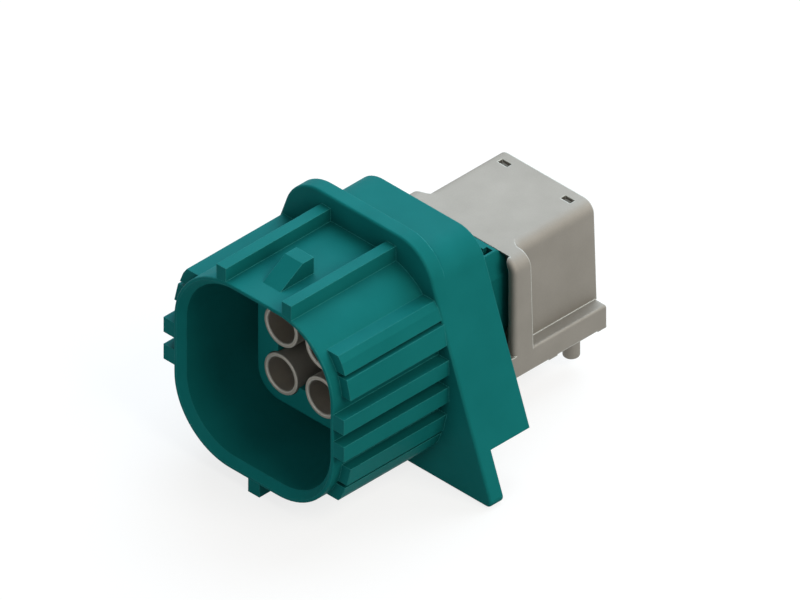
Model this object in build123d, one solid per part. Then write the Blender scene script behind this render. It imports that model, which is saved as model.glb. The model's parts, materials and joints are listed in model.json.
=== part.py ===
from build123d import *
import math
import os

# Lengths are in millimetres. X runs across the connector, Y from the mating end to the back
# and Z up from the board. The origin is the centre of the four board pegs, on the board's face.
# A depth is measured back from the rim of the shroud. A rise or drop is measured from the axis,
# the centre line of the four ports.

# Place of the mating end over the board
axis_height = 6.28
rim_to_peg_centre = 23.0

# Four coax ports on a square grid
port_pitch = 4.2
tube_diameter = 3.42
tube_wall = 0.34
tube_edge_round = 0.08
tube_proud = 0.2
moulding_clearance = 0.05

# Shroud of the housing
shroud_width = 16.34
shroud_corner_radius = 5.72
shroud_wall = 0.79
rim_lead_in = 0.53
rim_round = 0.1

# Boss that holds the tubes
boss_depth = 5.1
boss_wall = 0.9
boss_corner_radius = 2.2
boss_edge_round = 0.15
centre_recess_width = 5.12
centre_recess_depth = 5.0
recess_corner_radius = 0.25

# Ribs along the outside of the shroud
rib_root = 0.5
top_rib_width = 0.95
top_rib_offset = 3.35
top_rib_height = 1.11
side_rib_width = 1.32
side_rib_offset = 1.19
side_rib_height = 1.08
keel_width = 1.15
keel_height = 1.13
long_rib_setback = 0.03
corner_rib_setback = 0.93
corner_rib_drop = 1.77
corner_rib_first_width = 1.42
corner_rib_groove = 0.32
corner_rib_second_width = 1.62
corner_rib_top_tuck = 0.41
corner_rib_bend_drop = 0.53
corner_rib_bend_tuck = 0.04
corner_rib_first_reach = 0.31
corner_rib_second_reach = 0.49
corner_rib_foot_reach = 0.88

# Latch ramp on top of the shroud
ramp_width = 1.8
ramp_start_depth = 1.85
ramp_crest_depth = 4.17
ramp_back_depth = 5.3
ramp_height = 1.41

# Panel flange and the block behind it
flange_depth = 10.8
flange_thickness = 1.335
flange_rise = 10.3
flange_drop = 9.28
flange_bottom_width = 27.48
flange_side_slant = 20.0
flange_top_radius = 3.65
flange_bottom_radius = 0.5
flange_front_round = 0.2
flange_back_round = 0.12
shroud_floor_setback = 0.25
block_length = 3.925
block_rise = 9.32
block_drop = 5.24
block_left_inset = 2.3
block_top_radius = 2.75
block_wall = 1.2
block_floor = 1.25
block_rib_thickness = 0.9
block_rib_offset = 2.6

# Sleeve that takes the nose of the shell
sleeve_width = 9.74
sleeve_height = 8.28
sleeve_facet_drop = 1.86
sleeve_length = 5.29
sleeve_end_chamfer = 0.57
sleeve_end_gap = 0.05
sleeve_reach = 0.85
recess_clearance = 0.8
nose_web = 2.0
window_inner = 2.2
window_outer = 4.03
window_back_setback = 1.2
window_length = 1.25
notch_width = 0.65
notch_length = 0.37
window_sink = 1.6
nub_clearance = 0.15
nub_rise = 0.2

# Die-cast shell
shell_length = 9.55
shell_rise = 4.04
shell_base_drop = 6.18
shell_width = 12.52
shoulder_right_radius = 1.15
shoulder_left_radius = 1.58
shoulder_front_round = 0.4
shoulder_thickness = 1.69
shoulder_draft = 0.26
body_top_inset = 1.41
body_base_inset = 1.11
body_top_radius = 1.0
ledge_thickness = 1.88
ledge_edge_round = 0.2
ledge_rear_round = 0.3
pocket_corner_radius = 0.6
foot_clearance = 0.24
pad_width = 1.2
pad_length = 0.88
pad_pitch = 5.0
pad_rear_setback = 0.1
pad_rows = 3
peg_diameter = 1.3
peg_length = 2.12
peg_spacing_x = 9.6
peg_spacing_y = 9.6
peg_tip_round = 0.15

# Chambers inside the shell
chamber_width = 3.0
row_plate_gap = 1.0
groove_depth = 0.4
cover_recess = 0.92
cover_thickness = 0.25
cover_bead_rise = 0.24
cover_tab_width = 0.62
top_window_width = 0.98
top_window_length = 0.52
top_window_offset = 3.23
tab_sink = 0.14
bead_width = 1.1
bead_length = 5.6

# Contacts and insulators
contact_diameter = 0.82
contact_tip_setback = 1.6
contact_bend_radius = 0.9
contact_end_round = 0.14
tail_diameter = 0.5
tail_length = 2.06
insulator_clearance = 0.02
bead_setback = 4.4
bead_front_step = 0.5
bead_neck = 0.25
bead_joint_setback = 1.0
elbow_corner_radius = 1.2
elbow_side_clearance = 0.05
elbow_board_gap = 0.18

# Depths and sizes that follow from the sizes above
tube_radius = tube_diameter / 2
tube_bore_radius = tube_radius - tube_wall
tube_front_depth = boss_depth - tube_proud
boss_width = port_pitch + tube_diameter + 2 * boss_wall
shroud_half = shroud_width / 2
shroud_floor_depth = flange_depth + shroud_floor_setback
flange_back_depth = flange_depth + flange_thickness
block_back_depth = flange_back_depth + block_length
sleeve_end_depth = block_back_depth + sleeve_length
nose_depth = shroud_floor_depth + nose_web
nose_width = port_pitch + tube_diameter
shoulder_depth = sleeve_end_depth - sleeve_reach
shell_back_depth = shoulder_depth + shell_length
foot_front_depth = block_back_depth + foot_clearance
standoff = axis_height - shell_base_drop
chamber_half = chamber_width / 2
cover_front_depth = shell_back_depth - cover_recess - cover_thickness
elbow_back_depth = cover_front_depth + insulator_clearance / 2 - cover_bead_rise
bend_depth_upper = elbow_back_depth + elbow_side_clearance - chamber_half
bend_depth_lower = bend_depth_upper - chamber_width - row_plate_gap
front_chamber_depth = bend_depth_lower - chamber_half
row_plate_depth = bend_depth_lower + chamber_half
rear_chamber_depth = row_plate_depth + row_plate_gap
chamber_inner_x = port_pitch / 2 - chamber_half
chamber_outer_x = port_pitch / 2 + chamber_half
groove_x = chamber_outer_x + groove_depth
insulator_radius = tube_bore_radius - insulator_clearance
pin_hole_radius = contact_diameter / 2 + insulator_clearance
bead_back_depth = nose_depth + bead_joint_setback
slant = math.tan(math.radians(flange_side_slant))
small_cut = 0.5
root_depth = 0.1

port_rows = {"upper": 1, "lower": -1}
port_sides = {"left": -1, "right": 1}


def at_depth(depth):
    """Y of a depth behind the rim."""
    return depth - rim_to_peg_centre


def face_plane(depth):
    """Plane seen from the mating end, X across and Y up from the axis of the ports."""
    return Plane(origin=(0, at_depth(depth), axis_height), x_dir=(1, 0, 0), z_dir=(0, -1, 0))


def run_back(outline, start, end):
    """Extrude an outline, drawn as seen from the mating end, from one depth to a deeper one."""
    return extrude(face_plane(start) * outline, amount=end - start, dir=(0, 1, 0))


def rectangle_between(x_low, x_high, z_low, z_high):
    """Rectangle drawn as seen from the mating end."""
    centre = Pos((x_low + x_high) / 2, (z_low + z_high) / 2)
    return centre * Rectangle(x_high - x_low, z_high - z_low)


def port_places():
    """Centres of the four ports, as seen from the mating end."""
    half = port_pitch / 2
    return [Pos(x * half, z * half) for z in port_rows.values() for x in port_sides.values()]


def both_sides(solid):
    """A solid with its mirror image across the middle of the connector."""
    return solid + mirror(solid, about=Plane.YZ)


def slanted_outline(rise, drop, top_radius, left_inset=0.0):
    """Level top and bottom and two leaning sides, the left one moved in by left_inset."""
    top_half = flange_bottom_width / 2 - (flange_drop + rise) * slant
    bottom_half = flange_bottom_width / 2 - (flange_drop - drop) * slant
    outline = Polygon(
        (left_inset - bottom_half, -drop), (bottom_half, -drop),
        (top_half, rise), (left_inset - top_half, rise), align=None,
    )
    return fillet(outline.vertices().group_by(Axis.Y)[-1], top_radius)


def sleeve_outline(grow=0.0):
    """Upright sides with a leaning facet above and below, grown by one margin all round."""
    x = sleeve_width / 2 + grow
    z = sleeve_height / 2 + grow
    z_facet = z - sleeve_facet_drop
    x_top = x - (z - z_facet) * slant
    points = [(x, z_facet), (x_top, z), (-x_top, z), (-x, z_facet)]
    points += [(-x, -z_facet), (-x_top, -z), (x_top, -z), (x, -z_facet)]
    return Polygon(*points, align=None)


def long_ribs():
    """Two ribs on top, two on each side and a keel below, along the shroud."""
    root = shroud_half - rib_root
    top = rectangle_between(0, top_rib_width, root, shroud_half + top_rib_height)
    top = Pos(top_rib_offset - top_rib_width / 2, 0) * top
    side = rectangle_between(root, shroud_half + side_rib_height, 0, side_rib_width)
    side = Pos(0, side_rib_offset - side_rib_width / 2) * side
    side = side + mirror(side, about=Plane.XZ)
    keel = rectangle_between(-keel_width / 2, keel_width / 2, -shroud_half - keel_height, -root)
    paired = both_sides(top + side)
    return run_back(paired + keel, long_rib_setback, flange_depth + flange_thickness / 2)


def corner_rib_outlines():
    """The two ribs that wrap one rounded corner of the shroud, with the narrow groove between."""
    side = shroud_half
    root = side - shroud_wall
    first_top = side - corner_rib_drop
    first_bottom = first_top - corner_rib_first_width
    second_top = first_bottom - corner_rib_groove
    second_bottom = second_top - corner_rib_second_width
    first = Polygon(
        (root - corner_rib_drop, first_top), (side - corner_rib_top_tuck, first_top),
        (side - corner_rib_bend_tuck, first_top - corner_rib_bend_drop),
        (side + corner_rib_first_reach, first_bottom), (root, first_bottom), align=None,
    )
    second = Polygon(
        (root, second_top), (side + corner_rib_second_reach, second_top),
        (side + corner_rib_foot_reach, second_bottom), (side - rib_root, second_bottom), align=None,
    )
    return first + second


def corner_ribs():
    """Both ribs at all four corners."""
    corner = run_back(corner_rib_outlines(), corner_rib_setback, flange_depth + flange_thickness / 2)
    upper = both_sides(corner)
    return upper + mirror(upper, about=Plane.XY.offset(axis_height))


def latch_ramp():
    """Wedge on top of the shroud that the mating latch climbs and drops behind."""
    foot = axis_height + shroud_half - rib_root
    skin = axis_height + shroud_half
    crest = skin + ramp_height
    profile = Polygon(
        (at_depth(ramp_start_depth), foot), (at_depth(ramp_back_depth), foot),
        (at_depth(ramp_back_depth), crest), (at_depth(ramp_crest_depth), crest),
        (at_depth(ramp_start_depth), skin), align=None,
    )
    return extrude(Plane.YZ * profile, amount=ramp_width / 2, both=True)


def shroud_space():
    """Open space of the shroud around the boss, with the lead-in at its mouth."""
    inner_width = shroud_width - 2 * shroud_wall
    inner_radius = shroud_corner_radius - shroud_wall
    inner = RectangleRounded(inner_width, inner_width, inner_radius)
    mouth_width = inner_width + 2 * rim_lead_in
    mouth = RectangleRounded(mouth_width, mouth_width, inner_radius + rim_lead_in)
    lead_in = loft([face_plane(0) * mouth, face_plane(rim_lead_in) * inner], ruled=True)
    boss = run_back(
        RectangleRounded(boss_width, boss_width, boss_corner_radius), boss_depth, shroud_floor_depth
    )
    front_edges = boss.faces().sort_by(Axis.Y)[0].edges()
    boss = fillet(front_edges, boss_edge_round)
    return run_back(inner, 0, shroud_floor_depth) + lead_in - boss


def block_outline():
    """Block behind the flange, flush with its right side and set in from its left side."""
    return slanted_outline(block_rise, block_drop, block_top_radius, block_left_inset)


def block_pockets():
    """Cored pockets in the back of the block, between its wall, the sleeve and four ribs."""
    inside = offset(block_outline(), amount=-block_wall)
    upright = rectangle_between(-block_rib_thickness / 2, block_rib_thickness / 2, 0, flange_rise)
    uprights = Pos(block_rib_offset, 0) * upright + Pos(-block_rib_offset, 0) * upright
    level = Rectangle(flange_bottom_width, block_rib_thickness)
    pockets = inside - sleeve_outline() - uprights - level
    return run_back(pockets, flange_back_depth + block_floor, block_back_depth + small_cut)


def sleeve_windows():
    """T-shaped windows, two in the top and two in the bottom, where the shell's nubs snap in."""
    back = sleeve_end_depth - window_back_setback
    top = sleeve_height / 2 + small_cut
    bottom = sleeve_height / 2 - window_sink
    wide = run_back(
        rectangle_between(window_inner, window_outer, bottom, top), back - window_length, back
    )
    notch = run_back(
        rectangle_between(window_outer - notch_width, window_outer, bottom, top),
        back - small_cut, back + notch_length,
    )
    upper = both_sides(wide + notch)
    return upper + mirror(upper, about=Plane.XY.offset(axis_height))


def housing():
    """The whole plastic moulding."""
    shroud = run_back(
        RectangleRounded(shroud_width, shroud_width, shroud_corner_radius), 0, flange_back_depth
    )
    shroud = fillet(shroud.faces().sort_by(Axis.Y)[0].edges(), rim_round)
    plate = slanted_outline(flange_rise, flange_drop, flange_top_radius)
    plate = fillet(plate.vertices().group_by(Axis.Y)[0], flange_bottom_radius)
    flange = run_back(plate, flange_depth, flange_back_depth)
    flange = fillet(flange.faces().sort_by(Axis.Y)[0].edges(), flange_front_round)
    flange = fillet(flange.faces().sort_by(Axis.Y)[-1].edges(), flange_back_round)
    block = run_back(block_outline(), flange_back_depth - flange_thickness / 2, block_back_depth)
    sleeve = run_back(sleeve_outline(), flange_back_depth, sleeve_end_depth)
    level_edges = sleeve.faces().sort_by(Axis.Y)[-1].edges().filter_by(Axis.X)
    sleeve = chamfer(level_edges, sleeve_end_chamfer)
    body = shroud + flange + block - block_pockets() + sleeve
    body = body + long_ribs() + corner_ribs() + latch_ramp()
    body = body - shroud_space()

    recess = RectangleRounded(centre_recess_width, centre_recess_width, recess_corner_radius)
    body -= run_back(recess, boss_depth - small_cut, boss_depth + centre_recess_depth)
    for place in port_places():
        bore = place * Circle(tube_radius + moulding_clearance)
        body -= run_back(bore, boss_depth - small_cut, nose_depth)
    nose_space = RectangleRounded(
        nose_width + 2 * moulding_clearance, nose_width + 2 * moulding_clearance,
        tube_radius + moulding_clearance,
    )
    body -= run_back(nose_space, nose_depth - moulding_clearance, sleeve_end_depth + small_cut)
    return body - sleeve_windows()


def shoulder_and_ledges():
    """Shoulder with rounded top corners and the two ledges that run back from it."""
    half = shell_width / 2
    ledge_top = axis_height + ledge_thickness - shell_base_drop
    bottom = axis_height - shell_base_drop
    shoulder_back = shoulder_depth + shoulder_thickness
    side_view = Polygon(
        (at_depth(shoulder_depth), bottom), (at_depth(shell_back_depth), bottom),
        (at_depth(shell_back_depth), ledge_top),
        (at_depth(shoulder_back + shoulder_draft), ledge_top),
        (at_depth(shoulder_back), axis_height + shell_rise),
        (at_depth(shoulder_depth), axis_height + shell_rise), align=None,
    )
    rear_corner = side_view.vertices().sort_by(Axis.X)[-2:].sort_by(Axis.Y)[-1]
    side_view = fillet(rear_corner, ledge_rear_round)

    front_view = rectangle_between(-half, half, -shell_base_drop, shell_rise)
    top_right = front_view.vertices().group_by(Axis.Y)[-1].sort_by(Axis.X)[-1]
    front_view = fillet(top_right, shoulder_right_radius)
    top_left = front_view.vertices().group_by(Axis.Y)[-1].sort_by(Axis.X)[0]
    front_view = fillet(top_left, shoulder_left_radius)
    solid = run_back(front_view, shoulder_depth, shell_back_depth)
    solid = fillet(solid.faces().sort_by(Axis.Y)[0].edges(), shoulder_front_round)
    solid = solid & extrude(Plane.YZ * side_view, amount=half + small_cut, both=True)
    ledge_edges = solid.edges().filter_by(Axis.Y).filter_by_position(
        Axis.Z, ledge_top - small_cut, ledge_top + small_cut
    )
    return fillet(ledge_edges, ledge_edge_round)


def shell_outer():
    """Shoulder, ledges and the tapered body between them, before the chambers are cut."""
    ledge_top = ledge_thickness - shell_base_drop
    shoulder_back = shoulder_depth + shoulder_thickness
    base_half = shell_width / 2 - body_base_inset
    top_half = shell_width / 2 - body_top_inset
    body = Polygon(
        (-base_half, ledge_top - root_depth), (base_half, ledge_top - root_depth),
        (base_half, ledge_top), (top_half, shell_rise),
        (-top_half, shell_rise), (-base_half, ledge_top), align=None,
    )
    body = fillet(body.vertices().group_by(Axis.Y)[-1], body_top_radius)
    solid = shoulder_and_ledges() + run_back(body, shoulder_depth + shoulder_front_round, shell_back_depth)
    behind_shoulder = solid.edges().filter_by_position(
        Axis.Y, at_depth(shoulder_back), at_depth(shoulder_back + shoulder_draft)
    )
    beside_body = behind_shoulder.filter_by_position(Axis.X, -base_half, base_half)
    uprights = beside_body.filter_by(lambda edge: edge.length > ledge_thickness)
    above_ledge = uprights.filter_by_position(Axis.Z, axis_height + ledge_top, axis_height + shell_rise)
    return fillet(above_ledge, pocket_corner_radius)


def shoulder_recess():
    """Wide recess in the front of the shoulder that the sleeve's end stands in, open at the top."""
    front = at_depth(shoulder_depth - small_cut)
    floor = at_depth(sleeve_end_depth + sleeve_end_gap)
    bottom = axis_height + ledge_thickness - shell_base_drop
    roof = axis_height + sleeve_height / 2 - sleeve_end_chamfer
    past_top = sleeve_height / 2
    side_view = Polygon(
        (front, bottom), (floor, bottom), (floor, roof), (floor - past_top, roof + past_top),
        (front, roof + past_top), align=None,
    )
    recess = extrude(Plane.YZ * side_view, amount=shell_width / 2, both=True)
    outline = sleeve_outline(recess_clearance)
    recess = recess & run_back(outline, shoulder_depth - small_cut, sleeve_end_depth + sleeve_end_gap)
    nose = RectangleRounded(nose_width, nose_width, tube_radius)
    return recess - run_back(nose, shoulder_depth - 2 * small_cut, sleeve_end_depth + small_cut)


def shell_pegs():
    """Four round pegs that stand in the board's holes."""
    height = peg_length + standoff + root_depth
    peg = Cylinder(peg_diameter / 2, height, align=(Align.CENTER, Align.CENTER, Align.MAX))
    peg = fillet(peg.edges().group_by(Axis.Z)[0], peg_tip_round)
    pegs = [
        Pos(x * peg_spacing_x / 2, y * peg_spacing_y / 2, standoff + root_depth) * peg
        for x in (-1, 1) for y in (-1, 1)
    ]
    return pegs


def shell_pads():
    """Low pads under both ledges that the casting stands on."""
    height = standoff + root_depth
    pad = Box(pad_width, pad_length, height, align=(Align.MAX, Align.MAX, Align.MIN))
    rear = at_depth(shell_back_depth) - pad_rear_setback
    pads = []
    for row in range(pad_rows):
        place = Pos(shell_width / 2, rear - row * pad_pitch, 0)
        pads.append(place * pad)
        pads.append(mirror(place * pad, about=Plane.YZ))
    return pads


def shell_nubs():
    """Small wedges on the nose that snap into the sleeve's windows."""
    back = sleeve_end_depth - window_back_setback - nub_clearance
    front = back - window_length + 2 * nub_clearance
    root = axis_height + nose_width / 2 - nub_rise
    crest = axis_height + nose_width / 2 + nub_rise
    profile = Polygon(
        (at_depth(front), root), (at_depth(back), root), (at_depth(back), crest),
        (at_depth(front), root + nub_rise), align=None,
    )
    inner = window_inner + nub_clearance
    outer = window_outer - notch_width
    wedge = extrude(Plane.YZ * profile, amount=outer - inner, dir=(1, 0, 0))
    upper = both_sides(Pos(inner, 0, 0) * wedge)
    return upper + mirror(upper, about=Plane.XY.offset(axis_height))


def chamber_space():
    """Bores of the four lines and the chambers round their tails, open below and behind."""
    past_back = shell_back_depth + small_cut
    below = -axis_height - small_cut
    ceiling_lower = tube_bore_radius - port_pitch / 2
    ceiling_upper = tube_bore_radius + port_pitch / 2
    low = rectangle_between(chamber_inner_x, chamber_outer_x, below, ceiling_lower)
    high = rectangle_between(chamber_inner_x, chamber_outer_x, ceiling_lower - small_cut, ceiling_upper)
    space = both_sides(
        run_back(low, front_chamber_depth, past_back) + run_back(high, rear_chamber_depth, past_back)
    )
    for place in port_places():
        space += run_back(place * Circle(tube_bore_radius), tube_front_depth - small_cut, row_plate_depth)
        mouth = place * Circle(tube_bore_radius + tube_edge_round)
        throat = place * Circle(tube_bore_radius)
        front = face_plane(tube_front_depth)
        space += loft([front * mouth, face_plane(tube_front_depth + tube_edge_round) * throat])
    for side in port_sides.values():
        upper_line = Pos(side * port_pitch / 2, port_pitch / 2) * Circle(tube_bore_radius)
        space += run_back(upper_line, row_plate_depth - small_cut, rear_chamber_depth + small_cut)

    row_slot = rectangle_between(-groove_x, groove_x, below, ceiling_lower)
    space += run_back(row_slot, row_plate_depth, rear_chamber_depth)
    cover_slot = rectangle_between(-groove_x, groove_x, below, ceiling_upper)
    cover_slot_back = cover_front_depth + cover_thickness + insulator_clearance
    space += run_back(cover_slot, cover_front_depth, cover_slot_back)
    web_end = rectangle_between(-port_pitch / 2, port_pitch / 2, below, ceiling_upper)
    space += run_back(web_end, cover_front_depth, past_back)
    return space


def top_windows():
    """Two small windows in the roof of the shell that take the tabs of the rear cover."""
    centre = at_depth(cover_front_depth + cover_thickness / 2)
    roof = axis_height + shell_rise
    window = Box(top_window_width, top_window_length, 2 * (shell_rise - tube_bore_radius - port_pitch / 2))
    return [Pos(side * top_window_offset, centre, roof) * window for side in port_sides.values()]


def shield_shell():
    """The whole die-casting."""
    half = shell_width / 2
    foot = run_back(
        rectangle_between(-half, half, -shell_base_drop, ledge_thickness - shell_base_drop),
        foot_front_depth, shoulder_depth + small_cut,
    )
    nose = run_back(
        RectangleRounded(nose_width, nose_width, tube_radius), nose_depth, shoulder_depth + small_cut
    )
    body = shell_outer() + foot + nose - shoulder_recess()
    for place in port_places():
        tube = run_back(place * Circle(tube_radius), tube_front_depth, nose_depth + small_cut)
        body += fillet(tube.edges().group_by(Axis.Y)[0], tube_edge_round)
    body += shell_nubs()
    body = body + shell_pegs() + shell_pads()
    return body - chamber_space() - top_windows()


def contact_route(side, row):
    """Centre line of one contact, from its tip back to the bend and down to the top of its tail."""
    x = side * port_pitch / 2
    z = axis_height + row * port_pitch / 2
    bend_depth = bend_depth_upper if row > 0 else bend_depth_lower
    tip = (x, at_depth(tube_front_depth + contact_tip_setback), z)
    corner = (x, at_depth(bend_depth), z)
    foot = (x, at_depth(bend_depth), standoff)
    return FilletPolyline(tip, corner, foot, radius=contact_bend_radius)


def pin_along(route, radius):
    """Round wire of one radius along a route."""
    start = Plane(origin=route @ 0, z_dir=route % 0)
    return sweep(start * Circle(radius), path=route)


def centre_contact(side, row):
    """Bent round pin with a rounded tip and a thinner solder tail."""
    route = contact_route(side, row)
    pin = pin_along(route, contact_diameter / 2)
    pin = fillet(pin.faces().sort_by(Axis.Y)[0].edges(), contact_end_round)
    tail_height = tail_length + standoff + root_depth
    tail = Cylinder(tail_diameter / 2, tail_height, align=(Align.CENTER, Align.CENTER, Align.MAX))
    tail = fillet(tail.edges().group_by(Axis.Z)[0], contact_end_round)
    return pin + Pos(route @ 1) * Pos(0, 0, root_depth) * tail


def front_insulator(side, row):
    """Bead in the tube, with a stepped front and a groove round its middle."""
    place = Pos(side * port_pitch / 2, row * port_pitch / 2)
    front = tube_front_depth + bead_setback
    hub = place * Circle(insulator_radius - bead_neck)
    full = place * Circle(insulator_radius)
    bead = run_back(hub, front, bead_back_depth)
    middle = (front + bead_back_depth) / 2
    bead += run_back(full, front + bead_front_step, middle - bead_front_step)
    bead += run_back(full, middle + bead_front_step, bead_back_depth)
    return bead - run_back(place * Circle(pin_hole_radius), front - small_cut, bead_back_depth + small_cut)


def elbow_insulator(side, row):
    """Moulded elbow: a round run behind the bead and a square leg down to the board."""
    bend_depth = bend_depth_upper if row > 0 else bend_depth_lower
    z = row * port_pitch / 2
    x = side * port_pitch / 2
    leg_half = chamber_half - elbow_side_clearance
    run = run_back(
        Pos(x, z) * Circle(insulator_radius), bead_back_depth + insulator_clearance, bend_depth
    )
    leg = run_back(
        rectangle_between(x - leg_half, x + leg_half, elbow_board_gap - axis_height, z + insulator_radius),
        bend_depth - leg_half, bend_depth + leg_half,
    )
    crest = leg.faces().sort_by(Axis.Z)[-1].edges().filter_by(Axis.X).sort_by(Axis.Y)[-1:]
    leg = fillet(crest, elbow_corner_radius)
    return run + leg - pin_along(contact_route(side, row), pin_hole_radius)


def row_shield():
    """Plate pushed up from below between the lower and the upper row of tails."""
    top = tube_bore_radius - port_pitch / 2 - insulator_clearance
    half = groove_x - insulator_clearance
    plate = rectangle_between(-half, half, elbow_board_gap - axis_height, top)
    lead = plate.vertices().group_by(Axis.Y)[-1]
    plate = chamfer(lead, groove_depth)
    return run_back(plate, row_plate_depth + insulator_clearance, rear_chamber_depth - insulator_clearance)


def rear_cover():
    """Stamped plate with two tabs on top and two pressed beads that bear on the rear elbows."""
    top = tube_bore_radius + port_pitch / 2 - insulator_clearance
    half = groove_x - insulator_clearance
    blank = rectangle_between(-half, half, elbow_board_gap - axis_height, top)
    tab_top = shell_rise - tab_sink
    for side in port_sides.values():
        blank += Pos(side * top_window_offset, 0) * rectangle_between(
            -cover_tab_width / 2, cover_tab_width / 2, top - small_cut, tab_top
        )
    front = cover_front_depth + insulator_clearance / 2
    back = front + cover_thickness
    plate = run_back(blank, front, back)
    middle = (top + elbow_board_gap - axis_height) / 2
    for side in port_sides.values():
        slot = Pos(side * port_pitch / 2, middle) * Rot(0, 0, 90) * SlotOverall(bead_length, bead_width)
        dent = offset(slot, amount=-cover_thickness / 2)
        plate += run_back(slot, elbow_back_depth, front)
        plate -= run_back(dent, elbow_back_depth + cover_thickness, back + small_cut)
    return plate


def save(name, solid):
    """Write one node to its own file."""
    export_step(solid, "parts/" + name + ".step")


os.makedirs("parts", exist_ok=True)
save("housing", housing())
save("shield_shell", shield_shell())
save("row_shield", row_shield())
save("rear_cover", rear_cover())
for row_name, row in port_rows.items():
    for side_name, side in port_sides.items():
        port = row_name + "_" + side_name
        save("centre_contact_" + port, centre_contact(side, row))
        save("front_insulator_" + port, front_insulator(side, row))
        save("elbow_insulator_" + port, elbow_insulator(side, row))
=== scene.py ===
import json
import math

import bpy
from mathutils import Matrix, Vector


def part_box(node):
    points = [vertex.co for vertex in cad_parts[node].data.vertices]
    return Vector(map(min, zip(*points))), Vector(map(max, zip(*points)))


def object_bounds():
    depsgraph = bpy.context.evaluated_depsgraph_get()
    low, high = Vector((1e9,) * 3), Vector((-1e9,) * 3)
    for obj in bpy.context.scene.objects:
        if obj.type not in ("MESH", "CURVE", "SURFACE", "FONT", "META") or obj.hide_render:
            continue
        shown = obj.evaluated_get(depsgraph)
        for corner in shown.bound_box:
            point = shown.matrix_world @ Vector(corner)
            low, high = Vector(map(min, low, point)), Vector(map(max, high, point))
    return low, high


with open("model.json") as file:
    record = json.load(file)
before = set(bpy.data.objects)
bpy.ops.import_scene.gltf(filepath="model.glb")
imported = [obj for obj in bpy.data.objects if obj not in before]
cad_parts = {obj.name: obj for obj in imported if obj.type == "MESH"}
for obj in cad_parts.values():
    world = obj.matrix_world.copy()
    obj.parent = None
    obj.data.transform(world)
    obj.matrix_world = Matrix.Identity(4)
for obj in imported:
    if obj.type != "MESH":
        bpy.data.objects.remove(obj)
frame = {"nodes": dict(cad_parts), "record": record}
cad_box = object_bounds()

# Camera: an exact isometric view without perspective, from the right of the mating end and above.
# It is placed by the middle of the shroud's rim, whose pixel in the 800 by 600 picture is known.
picture_size_px = (800, 600)
rim_centre_px = (253.4, 389.9)
px_per_metre = 13790
camera_turn = math.radians(45)
camera_rise = math.atan(1 / math.sqrt(2))
camera_distance = 0.3
nearest_seen = 0.001
farthest_seen = 5

mounts = {mount["name"]: mount for mount in frame["record"]["mounts"]}
rim_centre = Vector(mounts["plug_shroud"]["pos_m"])
towards_camera = Vector((
    math.sin(camera_turn) * math.cos(camera_rise),
    -math.cos(camera_turn) * math.cos(camera_rise),
    math.sin(camera_rise),
))
camera_right = Vector((math.cos(camera_turn), math.sin(camera_turn), 0))
camera_up = towards_camera.cross(camera_right)
picture_centre = (
    rim_centre
    + camera_right * (picture_size_px[0] / 2 - rim_centre_px[0]) / px_per_metre
    + camera_up * (rim_centre_px[1] - picture_size_px[1] / 2) / px_per_metre
)

scene = bpy.context.scene
scene.view_settings.view_transform = "Standard"
camera = bpy.data.objects.new("camera", bpy.data.cameras.new("camera"))
camera.data.type = "ORTHO"
camera.data.ortho_scale = picture_size_px[0] / px_per_metre
camera.data.clip_start = nearest_seen
camera.data.clip_end = farthest_seen
camera.location = picture_centre + towards_camera * camera_distance
camera.rotation_euler = towards_camera.to_track_quat("Z", "Y").to_euler()
scene.collection.objects.link(camera)
scene.camera = camera


# Room: a matt grey table under the lowest edge of the flange and a plain surround, both seen as white.
# Little light comes back up from the table, so fronts stay dark, and the table keeps the shadow.
def linear(hex_colour):
    """The linear colour of an sRGB hex value."""
    channels = [int(hex_colour[place:place + 2], 16) / 255 for place in (1, 3, 5)]
    bent = [c / 12.92 if c <= 0.04045 else ((c + 0.055) / 1.055) ** 2.4 for c in channels]
    return (*bent, 1.0)


def add(tree, kind, links=None, **settings):
    """Add a node, set its properties and its sockets, and link the sockets that take an output."""
    node = tree.nodes.new(kind)
    for name, value in settings.items():
        setattr(node, name, value)
    for name, value in (links or {}).items():
        if isinstance(value, bpy.types.NodeSocket):
            tree.links.new(value, node.inputs[name])
        else:
            node.inputs[name].default_value = value
    return node


def seen_directly(tree):
    """One for rays from the camera, from a reflection or through glass, and zero for falling light."""
    path = add(tree, "ShaderNodeLightPath")
    camera_or_gloss = add(tree, "ShaderNodeMath", {
        0: path.outputs["Is Camera Ray"], 1: path.outputs["Is Glossy Ray"],
    }, operation="MAXIMUM")
    return add(tree, "ShaderNodeMath", {
        0: camera_or_gloss.outputs[0], 1: path.outputs["Is Transmission Ray"],
    }, operation="MAXIMUM").outputs[0]


def new_tree(owner):
    """The empty node tree of a material or of the world."""
    owner.use_nodes = True
    owner.node_tree.nodes.clear()
    return owner.node_tree


white = linear("#FFFFFF")
falling_colour = linear("#F4F8FF")
falling_strength = 0.20
surround = bpy.data.worlds.new("white_surround")
scene.world = surround
tree = new_tree(surround)
falling_light = add(tree, "ShaderNodeBackground", {"Color": falling_colour, "Strength": falling_strength})
white_seen = add(tree, "ShaderNodeBackground", {"Color": white, "Strength": 1.0})
mixed = add(tree, "ShaderNodeMixShader", {
    0: seen_directly(tree), 1: falling_light.outputs[0], 2: white_seen.outputs[0],
})
add(tree, "ShaderNodeOutputWorld", {"Surface": mixed.outputs[0]})

table_half_width = 2.0
corner_signs = ((-1, -1), (1, -1), (1, 1), (-1, 1))
table_corners = [(x * table_half_width, y * table_half_width, 0) for x, y in corner_signs]
table_mesh = bpy.data.meshes.new("table")
table_mesh.from_pydata(table_corners, [], [(0, 1, 2, 3)])
table = bpy.data.objects.new("table", table_mesh)
table.location.z = cad_box[0].z
scene.collection.objects.link(table)

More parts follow.
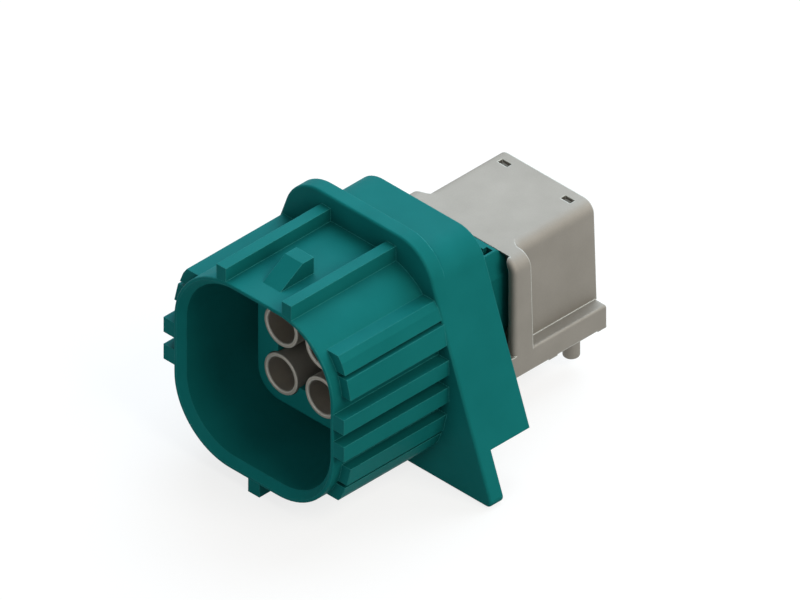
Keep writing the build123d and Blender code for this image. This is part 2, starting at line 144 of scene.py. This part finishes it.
# Grey paint, lifted towards white where it is seen directly. The lift stays below full white, so
# the shadow still shows in what the paint adds.
table_grey = linear("#8C8C8A")
lift_to_white = 0.78
table_paint = bpy.data.materials.new("matt_grey_table")
tree = new_tree(table_paint)
paint = add(tree, "ShaderNodeBsdfDiffuse", {"Color": table_grey})
lift = add(tree, "ShaderNodeEmission", {"Color": white, "Strength": lift_to_white})
brightened = add(tree, "ShaderNodeAddShader", {0: paint.outputs[0], 1: lift.outputs[0]})
mixed = add(tree, "ShaderNodeMixShader", {
    0: seen_directly(tree), 1: paint.outputs[0], 2: brightened.outputs[0],
})
add(tree, "ShaderNodeOutputMaterial", {"Surface": mixed.outputs[0]})
table_mesh.materials.append(table_paint)

# Lamps: a wide cool one behind and above lights the tops, a warmer one stands to the right, a weak
# one reaches into the shroud from the front, and a low one behind lights the far edges.
object_centre = (cad_box[0] + cad_box[1]) / 2


def soft_lamp(name, away, size, power, colour):
    """A square area lamp at a place measured from the middle of the connector, aimed at it."""
    lamp = bpy.data.objects.new(name, bpy.data.lights.new(name, "AREA"))
    lamp.data.size = size
    lamp.data.energy = power
    lamp.data.color = linear(colour)[:3]
    lamp.location = object_centre + Vector(away)
    lamp.rotation_euler = Vector(away).to_track_quat("Z", "Y").to_euler()
    scene.collection.objects.link(lamp)


soft_lamp("overhead_lamp", away=(-0.13, 0.24, 0.28), size=0.45, power=2.0, colour="#DCEEFF")
soft_lamp("right_lamp", away=(0.36, 0.02, 0.32), size=0.30, power=1.17, colour="#FFF8EE")
soft_lamp("front_lamp", away=(0.14, -0.42, 0.15), size=0.20, power=0.34, colour="#FFFFFF")
soft_lamp("back_lamp", away=(0.15, 0.40, 0.12), size=0.20, power=0.3, colour="#FFFFFF")


# Housing: one injection moulding in glass-filled polyester, from the shroud to the sleeve that the
# casting is pushed into. The mould's spark-eroded faces leave it dull, with a grain of under a tenth
# of a millimetre and softly broken edges.
def edge_highlight_mask(tree, edges):
    """One along the fine rounds of a piece's edges, where a highlight is painted, and zero on its faces.
    """
    agreement_on_face = 0.995
    agreement_on_round = 0.90
    face = add(tree, "ShaderNodeNewGeometry").outputs["True Normal"]
    agreement = add(tree, "ShaderNodeVectorMath", {
        0: edges.outputs[0], 1: face,
    }, operation="DOT_PRODUCT").outputs["Value"]
    return add(tree, "ShaderNodeMapRange", {
        "Value": agreement, "From Min": agreement_on_face, "From Max": agreement_on_round,
    }).outputs[0]


def glass_filled_polyester():
    """Teal polyester with glass fibre: dull and even, a little cloudy where the melt has flowed.

    A highlight is painted along the fine rounds of its edges as lighter lines, and shade is painted into
    its inner corners.
    """
    grain_size = 0.00009
    grain_depth = 0.00001
    grain_share = 0.12
    cloud_size = 0.004
    cloud_band = (0.3, 0.7)
    cloud_tones = (linear("#12716F"), linear("#167876"))
    edge_round = 0.00007
    edge_highlight_tone = linear("#35908D")
    # Painted shade in the inner corners: how far it reaches and how dark it gets.
    corner_reach = 0.0025
    open_to_closed = (0.9, 0.4)
    corner_shade_strength = 0.45
    corner_shade_tone = linear("#022A2A")
    material = bpy.data.materials.new("glass_filled_polyester")
    tree = new_tree(material)
    places = add(tree, "ShaderNodeTexCoord").outputs["Object"]
    clouds = add(tree, "ShaderNodeTexNoise", {"Vector": places, "Scale": 1 / cloud_size, "Detail": 3.0})
    grain = add(tree, "ShaderNodeTexNoise", {"Vector": places, "Scale": 1 / grain_size, "Detail": 2.0})
    tone = add(tree, "ShaderNodeValToRGB", {"Fac": clouds.outputs["Fac"]})
    for end in (0, 1):
        tone.color_ramp.elements[end].position = cloud_band[end]
        tone.color_ramp.elements[end].color = cloud_tones[end]
    edges = add(tree, "ShaderNodeBevel", {"Radius": edge_round}, samples=6)
    # Painted shade: inner corners are darkened towards a dark teal, by how closed in they are.
    openness = add(tree, "ShaderNodeAmbientOcclusion", {
        "Distance": corner_reach,
    }, samples=8, only_local=True).outputs["AO"]
    corner_shade = add(tree, "ShaderNodeMapRange", {
        "Value": openness, "From Min": open_to_closed[0], "From Max": open_to_closed[1],
        "To Max": corner_shade_strength,
    })
    shaded = add(tree, "ShaderNodeMix", {
        "Factor": corner_shade.outputs[0], "A": tone.outputs["Color"], "B": corner_shade_tone,
    }, data_type="RGBA")
    # Painted highlight: a lighter teal is mixed in along the fine rounds of the edges.
    tone_with_painted_light = add(tree, "ShaderNodeMix", {
        "Factor": edge_highlight_mask(tree, edges), "A": shaded.outputs["Result"], "B": edge_highlight_tone,
    }, data_type="RGBA")
    relief = add(tree, "ShaderNodeBump", {
        "Height": grain.outputs["Fac"], "Normal": edges.outputs[0],
        "Strength": grain_share, "Distance": grain_depth,
    })
    surface = add(tree, "ShaderNodeBsdfPrincipled", {
        "Base Color": tone_with_painted_light.outputs["Result"], "Roughness": 0.5, "IOR": 1.55,
        "Specular IOR Level": 0.02, "Normal": relief.outputs[0],
    })
    add(tree, "ShaderNodeOutputMaterial", {"Surface": surface.outputs[0]})
    return material


def finish_node(node, material):
    """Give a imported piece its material."""
    piece = frame["nodes"][node]
    piece.data.materials.clear()
    piece.data.materials.append(material)


finish_node("housing", glass_filled_polyester())


# Shield shell: one zinc die-casting that carries the four tubes and stands on the board.
# It is tumbled and nickel plated, so it is dull grey, finely grained and smooth on its rounds, which
# have a painted highlight that shows lighter than its faces.
def plated_zinc_casting():
    """Zinc casting under dull nickel: broad soft reflections, a faint cast grain and a painted highlight
    along its rounds.
    """
    grain_size = 0.00012
    grain_depth = 0.00001
    grain_share = 0.15
    cloud_size = 0.003
    cloud_band = (0.3, 0.7)
    cloud_tones = (linear("#8C8880"), linear("#938F87"))
    roughness = (0.65, 0.75)
    edge_round = 0.00014
    edge_highlight_tone = linear("#B9BBB5")
    material = bpy.data.materials.new("plated_zinc_casting")
    tree = new_tree(material)
    places = add(tree, "ShaderNodeTexCoord").outputs["Object"]
    clouds = add(tree, "ShaderNodeTexNoise", {"Vector": places, "Scale": 1 / cloud_size, "Detail": 4.0})
    grain = add(tree, "ShaderNodeTexNoise", {"Vector": places, "Scale": 1 / grain_size, "Detail": 3.0})
    tone = add(tree, "ShaderNodeValToRGB", {"Fac": clouds.outputs["Fac"]})
    for end in (0, 1):
        tone.color_ramp.elements[end].position = cloud_band[end]
        tone.color_ramp.elements[end].color = cloud_tones[end]
    dullness = add(tree, "ShaderNodeMapRange", {
        "Value": grain.outputs["Fac"], "To Min": roughness[0], "To Max": roughness[1],
    })
    edges = add(tree, "ShaderNodeBevel", {"Radius": edge_round}, samples=6)
    # Painted highlight: a light grey is mixed in along the fine rounds of the edges.
    tone_with_painted_light = add(tree, "ShaderNodeMix", {
        "Factor": edge_highlight_mask(tree, edges), "A": tone.outputs["Color"], "B": edge_highlight_tone,
    }, data_type="RGBA")
    relief = add(tree, "ShaderNodeBump", {
        "Height": grain.outputs["Fac"], "Normal": edges.outputs[0],
        "Strength": grain_share, "Distance": grain_depth,
    })
    surface = add(tree, "ShaderNodeBsdfPrincipled", {
        "Base Color": tone_with_painted_light.outputs["Result"], "Metallic": 1.0, "Roughness": dullness.outputs[0],
        "Normal": relief.outputs[0],
    })
    add(tree, "ShaderNodeOutputMaterial", {"Surface": surface.outputs[0]})
    return material


finish_node("shield_shell", plated_zinc_casting())


# Row shield and rear cover: stamped from copper alloy strip, tinned, and pushed into the shell.
# Matt tin is mid grey and a little streaked along the strip's rolling direction. The ends of the
# cover's tabs, seen in the shell's two windows, are sheared, with no tin on the cut, and their tops
# are painted dark, as painted shade inside the windows.
def tinned_strip():
    """Matt tin over rolled strip: fine streaks up the plate, and painted shade on the tops of the tabs.
    """
    # Real rolling lines are too fine to show, so the streaks are drawn coarser, at 0.06 mm.
    streak_width = 0.00006
    streak_length = 0.002
    streak_tones = (linear("#8A8882"), linear("#96948E"))
    roughness = (0.5, 0.6)
    # Painted shade: the tops of the cover's tabs, inside the shell's windows, are painted dark.
    tab_shade_depth = 0.00005
    window_shade_tone = linear("#4C4841")
    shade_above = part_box("rear_cover")[1].z - tab_shade_depth
    material = bpy.data.materials.new("tinned_strip")
    tree = new_tree(material)
    places = add(tree, "ShaderNodeTexCoord").outputs["Object"]
    stretched = add(tree, "ShaderNodeMapping", {
        "Vector": places, "Scale": (1 / streak_width, 1 / streak_width, 1 / streak_length),
    })
    streaks = add(tree, "ShaderNodeTexNoise", {
        "Vector": stretched.outputs[0], "Scale": 1.0, "Detail": 2.0,
    })
    tone = add(tree, "ShaderNodeValToRGB", {"Fac": streaks.outputs["Fac"]})
    for end in (0, 1):
        tone.color_ramp.elements[end].color = streak_tones[end]
    dullness = add(tree, "ShaderNodeMapRange", {
        "Value": streaks.outputs["Fac"], "To Min": roughness[0], "To Max": roughness[1],
    })
    # Painted shade on the tabs' tops, the part that is seen in the shell's windows.
    height = add(tree, "ShaderNodeSeparateXYZ", {"Vector": places}).outputs["Z"]
    in_window_shade = add(tree, "ShaderNodeMath", {0: height, 1: shade_above}, operation="GREATER_THAN")
    plate_tone = add(tree, "ShaderNodeMix", {
        "Factor": in_window_shade.outputs[0], "A": tone.outputs["Color"], "B": window_shade_tone,
    }, data_type="RGBA")
    surface = add(tree, "ShaderNodeBsdfPrincipled", {
        "Base Color": plate_tone.outputs["Result"], "Metallic": 1.0, "Roughness": dullness.outputs[0],
    })
    add(tree, "ShaderNodeOutputMaterial", {"Surface": surface.outputs[0]})
    return material


strip = tinned_strip()
for node in ("row_shield", "rear_cover"):
    finish_node(node, strip)


# Centre contacts: turned from copper alloy wire and bent, one for each port.
# The mating end has a gold flash, and the tail that is soldered to the board is tinned.
def gold_and_tin_wire():
    """Gold on the run behind the port and tin from the bend down, with fine turning marks."""
    # Real turning marks are too fine to show, so they are drawn coarser, at 0.05 mm.
    mark_size = 0.00005
    roughness = (0.2, 0.35)
    gold_tone = linear("#D9AE5C")
    tin_tone = linear("#BDBBB4")
    gold_stops_before_tails = 0.006
    change_length = 0.0004
    gold_ends_at = mounts["signal_pins"]["pos_m"][1] - gold_stops_before_tails
    material = bpy.data.materials.new("gold_and_tin_wire")
    tree = new_tree(material)
    places = add(tree, "ShaderNodeTexCoord").outputs["Object"]
    depth = add(tree, "ShaderNodeSeparateXYZ", {"Vector": places}).outputs["Y"]
    tinned = add(tree, "ShaderNodeMapRange", {
        "Value": depth, "From Min": gold_ends_at, "From Max": gold_ends_at + change_length,
    })
    tone = add(tree, "ShaderNodeMix", {
        "Factor": tinned.outputs[0], "A": gold_tone, "B": tin_tone,
    }, data_type="RGBA")
    marks = add(tree, "ShaderNodeTexNoise", {"Vector": places, "Scale": 1 / mark_size, "Detail": 2.0})
    dullness = add(tree, "ShaderNodeMapRange", {
        "Value": marks.outputs["Fac"], "To Min": roughness[0], "To Max": roughness[1],
    })
    surface = add(tree, "ShaderNodeBsdfPrincipled", {
        "Base Color": tone.outputs["Result"], "Metallic": 1.0, "Roughness": dullness.outputs[0],
    })
    add(tree, "ShaderNodeOutputMaterial", {"Surface": surface.outputs[0]})
    return material


ports = [row + "_" + side for row in ("upper", "lower") for side in ("left", "right")]
wire = gold_and_tin_wire()
for port in ports:
    finish_node("centre_contact_" + port, wire)


# Insulators: a bead in each tube and an elbow behind it, moulded in liquid-crystal polymer.
# It is off-white and dull, with the faint swirl that this plastic takes as it fills the mould.
def liquid_crystal_polymer():
    """Off-white moulded polymer with a faint swirl."""
    swirl_size = 0.0012
    swirl_tones = (linear("#CFC9BA"), linear("#DDD8CB"))
    material = bpy.data.materials.new("liquid_crystal_polymer")
    tree = new_tree(material)
    places = add(tree, "ShaderNodeTexCoord").outputs["Object"]
    swirl = add(tree, "ShaderNodeTexNoise", {
        "Vector": places, "Scale": 1 / swirl_size, "Detail": 4.0, "Distortion": 1.5,
    })
    tone = add(tree, "ShaderNodeValToRGB", {"Fac": swirl.outputs["Fac"]})
    for end in (0, 1):
        tone.color_ramp.elements[end].color = swirl_tones[end]
    surface = add(tree, "ShaderNodeBsdfPrincipled", {
        "Base Color": tone.outputs["Color"], "Roughness": 0.5, "IOR": 1.6,
    })
    add(tree, "ShaderNodeOutputMaterial", {"Surface": surface.outputs[0]})
    return material


polymer = liquid_crystal_polymer()
for port in ports:
    finish_node("front_insulator_" + port, polymer)
    finish_node("elbow_insulator_" + port, polymer)
